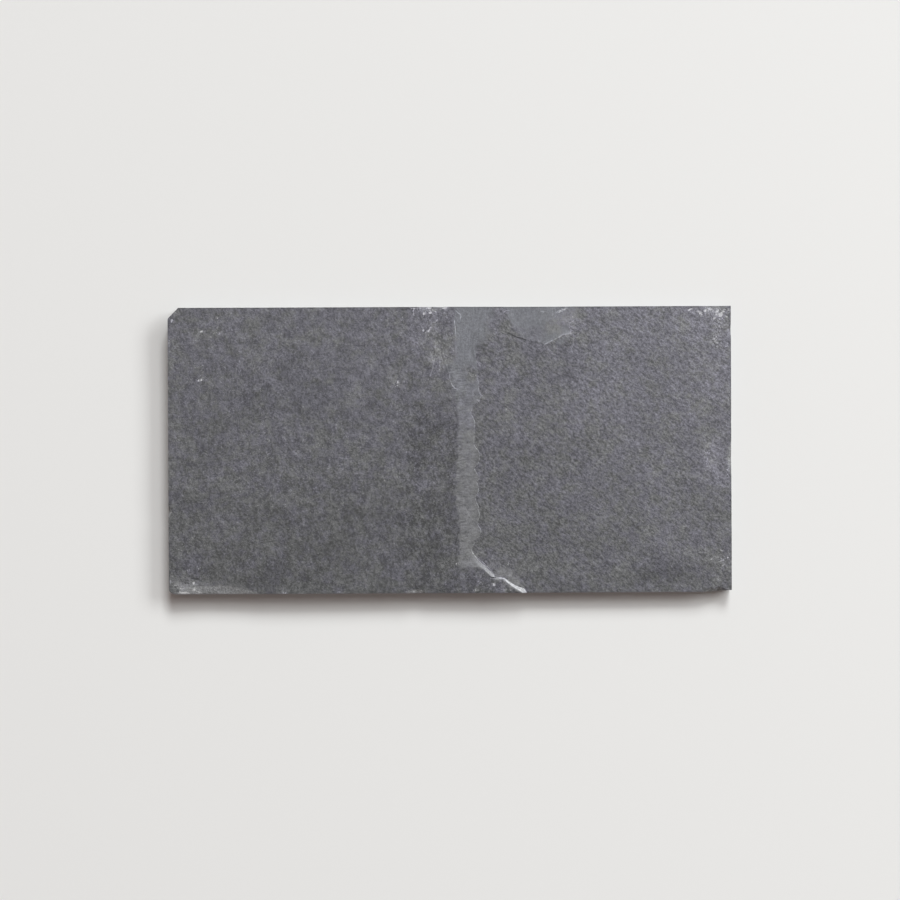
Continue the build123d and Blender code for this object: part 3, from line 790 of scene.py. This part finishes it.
places, face_squares, edge_squares, back = closed_skin(face_x, face_y, face_z)
skin = bpy.data.meshes.new("slate_tile_skin")
faces = face_squares.tolist() + edge_squares.tolist() + [back.tolist()]
skin.from_pydata((places * MM).tolist(), [], faces)
for name, values in face_numbers.items():
    # the edges take the numbers of the rim above them, but no spall's fresh stone runs down them
    rim_values = values.ravel()[rim_loop(*face_x.shape)] * (name != "fresh")
    keep_number(skin, name, np.concatenate([values.ravel(), np.tile(rim_values, EDGE_ROWS)]))
finish_of_face = np.zeros(len(skin.polygons), np.int32)
finish_of_face[len(face_squares):] = SAWN_EDGE
finish_of_face[-1] = GROUND_BACK
skin.polygons.foreach_set("material_index", finish_of_face)
skin.polygons.foreach_set("use_smooth", np.ones(len(skin.polygons), bool))
skin.set_sharp_from_angle(angle=math.radians(40))
skin.validate()
skin.update()
triangles = sum(len(p.vertices) - 2 for p in skin.polygons)
print("skin:", len(skin.vertices), "places,", triangles, "triangles")

# %% The tile on its body
tile = bpy.data.objects.new("split_slate_tile", skin)
bpy.context.scene.collection.objects.link(tile)
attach(tile, "root")
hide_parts("slate_tile")

# %% [markdown]
# ## Shader sums in Python
# A finish is a network of small nodes. Most of them are sums, so a class that stands for a
# socket and understands plus, minus and times lets the network be written as formulas. One
# method makes every other kind of node from its settings and its socket values.

# %% A socket that can be used in sums
class Wire:
    """An output socket of a finish. Each Python sum on it adds one Math node."""

    def __init__(self, bench, socket):
        self.bench = bench
        self.socket = socket

    def math(self, operation, *values):
        """Adds one Math node to the finish."""
        inputs = dict(enumerate(values))
        return self.bench.node("ShaderNodeMath", {"operation": operation}, inputs)

    def __add__(self, other):
        return self.math("ADD", self, other)

    def __radd__(self, other):
        return self.math("ADD", other, self)

    def __sub__(self, other):
        return self.math("SUBTRACT", self, other)

    def __rsub__(self, other):
        return self.math("SUBTRACT", other, self)

    def __mul__(self, other):
        return self.math("MULTIPLY", self, other)

    def __rmul__(self, other):
        return self.math("MULTIPLY", other, self)

    def __abs__(self):
        return self.math("ABSOLUTE", self)

    def or_more(self, other):
        """The larger of the two."""
        return self.math("MAXIMUM", self, other)


class Bench:
    """Where the nodes of one material or world are put together."""

    def __init__(self, owner):
        self.owner = owner
        owner.use_nodes = True
        self.tree = owner.node_tree
        self.tree.nodes.clear()

    def node(self, kind, settings, inputs, output=0):
        """Adds a node: its settings first, then the numbers or wires of its sockets."""
        made = self.tree.nodes.new(kind)
        for name, value in settings.items():
            if name == "stops":
                self.set_stops(made.color_ramp.elements, value)
            else:
                setattr(made, name, value)
        for name, value in inputs.items():
            if isinstance(value, Wire):
                self.tree.links.new(value.socket, made.inputs[name])
            else:
                made.inputs[name].default_value = value
        return Wire(self, made.outputs[output]) if made.outputs else made

    def set_stops(self, elements, stops):
        """Gives a colour ramp its stops, each a place and a colour."""
        while len(elements) < len(stops):
            elements.new(0.5)
        for element, (place, colour) in zip(elements, stops):
            element.position = place
            element.color = (*colour, 1.0)

    def share(self, value, low, high):
        """0 at low, 1 at high, smooth between. Low may be the larger one."""
        inputs = {"Value": value, "From Min": low, "From Max": high}
        return self.node("ShaderNodeMapRange", {"interpolation_type": "SMOOTHSTEP"}, inputs)

    def place(self):
        """Object coordinates in millimetres."""
        metres = self.node("ShaderNodeTexCoord", {}, {}, "Object")
        return self.node("ShaderNodeVectorMath", {"operation": "SCALE"}, {0: metres, "Scale": 1 / MM})

    def turned(self, place, degrees, stretch):
        """Coordinates whose first axis points along an angle and is longer by the stretch."""
        inputs = {"Vector": place, "Rotation": (0, 0, math.radians(degrees)), "Scale": stretch}
        return self.node("ShaderNodeMapping", {"vector_type": "TEXTURE"}, inputs)

    def coordinate(self, place, axis):
        """One coordinate of a place: the axis is X, Y or Z."""
        return self.node("ShaderNodeSeparateXYZ", {}, {0: place}, axis)

    def noise(self, place, scale, detail, roughness):
        """Soft noise from 0 to 1 at so many lumps to the millimetre."""
        inputs = {"Vector": place, "Scale": scale, "Detail": detail, "Roughness": roughness}
        return self.node("ShaderNodeTexNoise", {}, inputs)

    def ramp(self, value, stops):
        """A colour that changes with a value, through stops of a place and a colour each."""
        return self.node("ShaderNodeValToRGB", {"stops": stops}, {"Fac": value})

    def blend(self, share, first, second):
        """First where the share is 0, second where it is 1, for numbers."""
        return first + (second - first) * share

    def mix(self, share, first, second):
        """First where the share is 0, second where it is 1, for colours."""
        settings = {"data_type": "RGBA"}
        return self.node("ShaderNodeMix", settings, {0: share, 6: first, 7: second}, 2)

    def stored(self, name):
        """A number that the mesh keeps for each place."""
        settings = {"attribute_type": "GEOMETRY", "attribute_name": name}
        return self.node("ShaderNodeAttribute", settings, {}, "Fac")

    def tinted(self, tone, tint):
        """A grey of the given brightness times a colour."""
        grey = self.node("ShaderNodeCombineXYZ", {}, {0: tone, 1: tone, 2: tone})
        return self.node("ShaderNodeVectorMath", {"operation": "MULTIPLY"}, {0: grey, 1: tint})

    def bump(self, height):
        """Normals of a relief whose height is given in millimetres."""
        inputs = {"Strength": 1.0, "Distance": MM, "Height": height}
        return self.node("ShaderNodeBump", {}, inputs)

    def close(self, shader, kind="ShaderNodeOutputMaterial"):
        """Ends the network in its output and gives back the material or world."""
        self.node(kind, {}, {"Surface": shader})
        return self.owner

    def stone(self, colour, roughness, height, gloss):
        """A stone surface: rough, a little glossy, with relief finer than the mesh."""
        inputs = {"Base Color": colour, "Roughness": roughness, "Normal": self.bump(height)}
        inputs["Specular IOR Level"] = gloss
        return self.close(self.node("ShaderNodeBsdfPrincipled", {}, inputs))


# %% [markdown]
# ## The split face's finish
# Slate is a dark grey stone with a slight violet or green cast that drifts over a few
# centimetres. What the eye reads as grain is partly colour and partly relief. The finish
# therefore has two halves: a brightness, built from noise of several sizes, and a bump height
# for relief that is finer than the mesh. Both use the same noise, so that a pit is darker as well
# as deeper. The stored numbers place the marks of the break, and the cast comes last.

# %% Grain of the beds, as brightness and as relief
VIOLET = (0.970, 0.952, 1.108)
PLAIN_GREY = (0.980, 0.970, 1.062)
GREEN_GREY = (0.990, 0.992, 1.010)
BLUE_GREY = (0.956, 0.984, 1.080)
BASE_TONE = 0.1238
# the smooth break is painted paler: partly its own lighter stone, partly painted sheen of its smoother
# face
RISER_TONE = 0.153


def bed_grain(b, place, left_bed):
    """Brightness factor and height in mm of both beds, blended where they meet."""
    fine = b.noise(place, 1.9, 1.0, 1.0)
    flaky = b.noise(b.turned(place, -68, (1.4, 1.0, 1.0)), 0.35, 1.0, 1.0)
    crumbly = b.noise(place, 0.85, 1.0, 1.0)
    specks = b.noise(place, 1.0, 1.0, 0.6)
    left = 1.35 * (flaky - 0.5) + 1.8 * (crumbly - 0.5) + 0.65 * (fine - 0.5)
    left = 0.97 + (left + 0.80 * b.share(specks, 0.61, 0.78)) * b.stored("contrast")
    left = left.or_more(0.60)
    pebbly = b.noise(b.turned(place, -38, (2.0, 1.0, 1.0)), 0.44, 1.0, 1.0)
    pitted = b.noise(b.turned(place, -38, (1.25, 1.0, 1.0)), 0.82, 1.0, 1.0)
    right = 0.995 + 1.20 * (pebbly - 0.5) + 2.25 * (pitted - 0.5) + 0.80 * (fine - 0.5)
    right = right.or_more(0.55)
    left_height = 0.14 * flaky + 0.16 * crumbly + 0.05 * fine
    right_height = 0.12 * pebbly + 0.16 * pitted + 0.05 * fine
    return b.blend(left_bed, right, left), b.blend(left_bed, right_height, left_height)


def riser_grain(b, place):
    """Brightness factor and height of the smooth riser: faint hackles square to its lip.

    Towards the back it is a little paler and the hackles run along the tile's width."""
    high = b.share(b.coordinate(place, "Y"), 40.0, 50.0)
    across = b.noise(b.turned(place, 4, (5.0, 1.0, 1.0)), 1.1, 2.0, 0.7)
    along = b.noise(b.turned(place, 84, (5.0, 1.0, 1.0)), 1.0, 2.0, 0.7)
    soft = b.noise(place, 0.9, 3.0, 0.8)
    streaks = b.blend(high, across, along)
    blotchy = b.noise(place, 0.30, 1.0, 0.8)
    near_lip, inland = b.blend(high, 0.8, 0.6), b.blend(high, 1.9, 0.6)
    hackled = b.blend(b.share(b.stored("lip"), 4.5, 8.5), near_lip, inland)
    hackled = hackled * b.blend(b.share(b.stored("lip"), -6.0, -1.0), 0.4, 1.0)
    tone = hackled * (streaks - 0.5) + b.blend(high, 1.6, 1.7) * (soft - 0.5)
    tone = b.blend(high, 1.0, 1.065) + tone + b.blend(high, 1.0, 0.45) * (blotchy - 0.5)
    return tone, 0.14 * streaks + 0.16 * soft


# %% Brightness and relief of the bare break
SPALL_TONE = 0.235
LIP_RIM_GAIN = 0.14
RISER_HIGHLIGHT_TONE = 0.40


def bare_break(b, place, calm, fresh, chalky):
    """Brightness and height in mm of beds, riser and spalls, with the lip's rim and painted highlight.
    """
    grain, height = bed_grain(b, place, b.stored("left_bed"))
    smooth_grain, smooth_height = riser_grain(b, place)
    bed_tone = BASE_TONE * b.stored("tone") * grain
    tone = b.blend(0.94 * calm, bed_tone, RISER_TONE * smooth_grain) * b.stored("stain")
    tone = b.blend(0.8 * fresh, tone, SPALL_TONE + 0.90 * (chalky - 0.5))

    # painted highlight: the lip's rim is partly paler fresh stone, partly light caught by its broken
    # edge
    # the rim of the lip is bright, stronger here and weaker there, and fades out near the back
    lip, patchy = b.stored("lip"), b.noise(place, 0.45, 2.0, 0.8)
    rim = b.share(lip, -0.14, 0.03) * b.share(lip, 0.46, 0.16) * b.share(patchy, 0.38, 0.60)
    tone = tone + LIP_RIM_GAIN * rim * b.share(b.coordinate(place, "Y"), 42.0, 22.0)
    # painted highlight: the steep riser beside the lip is made brighter where it faces the lamps
    tone = b.blend(b.stored("band"), tone, RISER_HIGHLIGHT_TONE + 0.95 * (chalky - 0.5))
    return tone, b.blend(calm, height, smooth_height)


# %% Hairlines, dust and powder over it
GLINT_GAIN = 0.20
CRACK_LOSS = 0.60
DUST_GAIN = 0.27
POWDER_TONE = 0.52


def marked(b, place, tone, chalky):
    """Brightness with the marks on it, and the share of powder.

    A hairline shows where the distance to it, moved by a little noise, is near 0. Powder shows
    where fine noise and the bruise's strength together pass a limit, so its outline is ragged."""
    wander = 0.7 * (b.noise(place, 0.6, 3.0, 0.8) - 0.5)
    broken = b.share(b.noise(place, 0.7, 2.0, 0.7), 0.36, 0.60)
    bright_line = b.share(abs(b.stored("glint") + wander), 0.42, 0.10) * b.stored("glint_power")
    dark_line = b.share(abs(b.stored("crack") + wander), 0.58, 0.12) * b.stored("crack_power")
    # painted highlight on the bright hairlines, partly paler fresh stone at the broken edges
    tone = tone + GLINT_GAIN * bright_line * (0.35 + 0.65 * broken)
    tone = tone * (1.0 - CRACK_LOSS * dark_line * (0.5 + 0.5 * broken))
    bruise = b.stored("bruise")
    dust = b.share(b.noise(place, 1.3, 1.0, 0.6), 0.53, 0.70) * b.share(bruise, 0.14, 0.50)
    powder = b.share(0.60 * b.noise(place, 1.5, 2.0, 0.8) + 0.72 * bruise, 0.74, 0.96)
    return b.blend(powder, tone + DUST_GAIN * dust, POWDER_TONE + 0.4 * (chalky - 0.5)), powder


# %% Cast of the stone
def stone_cast(b, place, calm, fresh, powder):
    """Colour of the stone at a plain brightness: a slow drift from green through grey to violet.

    Warm spots and spalls lean to green. The smooth riser is bluish towards the back and greenish
    towards the front, and powder is nearly white."""
    towards_back, towards_right = b.coordinate(place, "Y"), b.coordinate(place, "X")
    warm = b.stored("warm") + 0.8 * fresh
    drift = b.noise(place, 0.09, 3.0, 0.85) + 0.0009 * towards_back + 0.00012 * towards_right
    stops = [(0.384, GREEN_GREY), (0.494, PLAIN_GREY), (0.604, VIOLET)]
    cast = b.ramp(drift - 0.20 * warm, stops)
    bluish = 0.8 * calm * b.share(towards_back, -5.0, 60.0) * b.share(warm, 0.8, 0.2)
    cast = b.mix(bluish, cast, (*BLUE_GREY, 1.0))
    cast = b.mix(0.7 * calm * b.share(towards_back, 30.0, -20.0), cast, (*GREEN_GREY, 1.0))
    return b.mix(0.6 * powder, cast, (1.0, 1.0, 1.0, 1.0))


# %% Split face
def split_face_finish():
    """The bare break, the marks over it and the cast of the stone."""
    b = Bench(bpy.data.materials.new("split_face"))
    place, fresh = b.place(), b.stored("fresh")
    calm = b.share(b.stored("calm") + 0.55 * (b.noise(place, 0.8, 2.0, 0.7) - 0.5), 0.10, 0.90)
    chalky = b.noise(place, 1.1, 3.0, 0.8)
    tone, height = bare_break(b, place, calm, fresh, chalky)
    tone, powder = marked(b, place, tone, chalky)
    cast = stone_cast(b, place, calm, fresh, powder)
    return b.stone(b.tinted(tone, cast), 0.62, height, 0.35)


# %% [markdown]
# ## Sawn edges and ground back
# A diamond saw leaves a dull edge with faint, nearly upright scratches, and the cleavage layers
# show on it as level lines. The back was ground level by a wide roller, which leaves fine
# straight scratches along the tile over a mottled grey.

# %% Sawn edges
EDGE_TONE = 0.118
BITTEN_EDGE_TONE = 0.155


def sawn_edge_finish():
    """Level layers and upright saw scratches, from Object coordinates squeezed each way."""
    b = Bench(bpy.data.materials.new("sawn_edge"))
    place = b.place()
    layers = b.noise(b.turned(place, 0, (14.0, 14.0, 0.55)), 0.9, 3.0, 0.75)
    scratches = b.noise(b.turned(place, 0, (0.42, 0.42, 9.0)), 0.9, 2.0, 0.7)
    mottle = b.noise(place, 0.25, 3.0, 0.7)
    fine = b.noise(place, 2.2, 1.0, 0.6)
    grain = 0.55 * (layers - 0.5) + 0.35 * (scratches - 0.5)
    grain = grain + 0.6 * (mottle - 0.5) + 0.5 * (fine - 0.5)
    tone = b.blend(0.6 * b.stored("fresh"), EDGE_TONE * (1.0 + grain), BITTEN_EDGE_TONE)
    height = 0.10 * layers + 0.06 * scratches + 0.05 * fine
    return b.stone(b.tinted(tone, PLAIN_GREY), 0.58, height, 0.4)


# %% Ground back
BACK_TONE = 0.138


def ground_back_finish():
    """Mottled grey with straight scratches along the tile."""
    b = Bench(bpy.data.materials.new("ground_back"))
    place = b.place()
    scratches = b.noise(b.turned(place, 2, (40.0, 0.5, 1.0)), 0.9, 3.0, 0.8)
    mottle = b.noise(place, 0.10, 4.0, 0.75)
    fine = b.noise(place, 1.8, 2.0, 0.7)
    grain = 0.45 * (scratches - 0.5) + 0.7 * (mottle - 0.5) + 0.5 * (fine - 0.5)
    tone = BACK_TONE * (1.0 + grain)
    cast = b.ramp(b.noise(place, 0.03, 2.0, 0.6), [(0.4, GREEN_GREY), (0.6, PLAIN_GREY)])
    return b.stone(b.tinted(tone, cast), 0.6, 0.05 * scratches + 0.05 * fine, 0.4)


for finish in (split_face_finish(), sawn_edge_finish(), ground_back_finish()):
    skin.materials.append(finish)
    print(finish.name, "has", len(finish.node_tree.nodes), "nodes")

# %% [markdown]
# ## Floor
# The tile lies on a plain pale floor that takes its shadow. A diffuse surface is enough, since
# a gloss would only mirror the lamps. It reaches 12 m each way, so no view sees its end.

# %% Floor
FLOOR_COLOUR = (0.805, 0.797, 0.782, 1.0)
FLOOR_HALF = 12.0


def floor_finish():
    """One plain diffuse colour."""
    b = Bench(bpy.data.materials.new("pale_floor"))
    return b.close(b.node("ShaderNodeBsdfDiffuse", {}, {"Color": FLOOR_COLOUR}))


corners = [(-FLOOR_HALF, -FLOOR_HALF, 0), (FLOOR_HALF, -FLOOR_HALF, 0)]
corners += [(FLOOR_HALF, FLOOR_HALF, 0), (-FLOOR_HALF, FLOOR_HALF, 0)]
floor_mesh = bpy.data.meshes.new("floor")
floor_mesh.from_pydata(corners, [], [(0, 1, 2, 3)])
floor_mesh.materials.append(floor_finish())
floor = bpy.data.objects.new("floor", floor_mesh)
bpy.context.scene.collection.objects.link(floor)

# %% [markdown]
# ## Light
# A shadow tells where a lamp is: its length over the height of the edge is the run of the light
# over its rise. A lamp is therefore given here by the runs that it covers, to the right and to
# the back for each metre of height, by how high it hangs, and by the share of the floor's light
# that it brings. A far lamp lights the floor evenly, and a near one makes it brighter towards
# itself. The light that is left over comes evenly from the whole sky.

# %% Three soft lamps
SKY_SHARE = 0.17
SKY_TINT = (1.16, 0.965, 0.90)
LAMP_TINT = tuple((1 - SKY_SHARE * part) / (1 - SKY_SHARE) for part in SKY_TINT)


def soft_lamp(name, run_right, run_back, height, share):
    """A level rectangular lamp, as bright as brings its share of a light of strength 1.

    A lamp of power P and area A has the radiance P / (pi A). Each part of it lights the floor by
    its radiance over (1 + run^2)^2, so the mean of that over the lamp gives the power."""
    lamp = bpy.data.lights.new(name, "AREA")
    lamp.shape = "RECTANGLE"
    lamp.size = (run_right[1] - run_right[0]) * height
    lamp.size_y = (run_back[1] - run_back[0]) * height
    runs_x, runs_y = np.meshgrid(np.linspace(*run_right, 60), np.linspace(*run_back, 60))
    reaching = (1 / (1 + runs_x**2 + runs_y**2) ** 2).mean() * lamp.size * lamp.size_y / height**2
    lamp.energy = share * math.pi**2 * lamp.size * lamp.size_y / reaching
    lamp.color = LAMP_TINT
    holder = bpy.data.objects.new(name, lamp)
    holder.location = (sum(run_right) / 2 * height, sum(run_back) / 2 * height, height)
    holder.visible_camera = False
    bpy.context.scene.collection.objects.link(holder)
    print(name, round(lamp.size, 2), "by", round(lamp.size_y, 2), "m,", round(lamp.energy), "W")


soft_lamp("back_softbox", (-0.03, 0.60), (0.97, 1.87), 20.0, 0.50 * (1 - SKY_SHARE))
soft_lamp("right_softbox", (0.92, 1.99), (0.20, 1.37), 3.10, 0.355 * (1 - SKY_SHARE))
soft_lamp("top_softbox", (-0.03, 0.88), (0.50, 0.98), 20.0, 0.145 * (1 - SKY_SHARE))

# %% [markdown]
# The sky lights the tile weakly, but what is seen behind the floor is as pale as the floor. A
# Light Path node tells the rays that are seen from the rays that light.

# %% Sky
def sky():
    """The weak sky light, or the floor's colour where the camera or a mirrored ray looks."""
    b = Bench(bpy.data.worlds.new("studio"))
    seen = b.node("ShaderNodeLightPath", {}, {}, "Is Camera Ray")
    for ray in ("Is Glossy Ray", "Is Transmission Ray"):
        seen = seen.or_more(b.node("ShaderNodeLightPath", {}, {}, ray))
    lighting = (*(SKY_SHARE * part for part in SKY_TINT), 1.0)
    colour = b.mix(seen, lighting, FLOOR_COLOUR)
    background = b.node("ShaderNodeBackground", {}, {"Color": colour, "Strength": 1.0})
    return b.close(background, "ShaderNodeOutputWorld")


bpy.context.scene.world = sky()

# %% [markdown]
# ## Camera
# The camera hangs over the tile and looks straight down, from far enough that the tile's edges
# show hardly any perspective. It is turned by a quarter of a degree, as the tile lies.

# %% Camera
PICTURE_WIDTH = 900
PIXELS_PER_MM = 1.8468
FACE_LEVEL = 0.0098
FOCAL = 85.0
SENSOR = 36.0
CAMERA_TURN = -0.245
view_width = PICTURE_WIDTH / PIXELS_PER_MM * MM
distance = view_width * FOCAL / SENSOR
lens = bpy.data.cameras.new("overhead")
lens.lens = FOCAL
lens.sensor_width = SENSOR
camera = bpy.data.objects.new("overhead", lens)
camera.location = (0.0, 0.0, FACE_LEVEL + distance)
camera.rotation_euler = (0.0, 0.0, math.radians(CAMERA_TURN))
bpy.context.scene.collection.objects.link(camera)
bpy.context.scene.camera = camera
bpy.context.scene.view_settings.view_transform = "Standard"
print("camera", round(distance, 3), "m over the face")
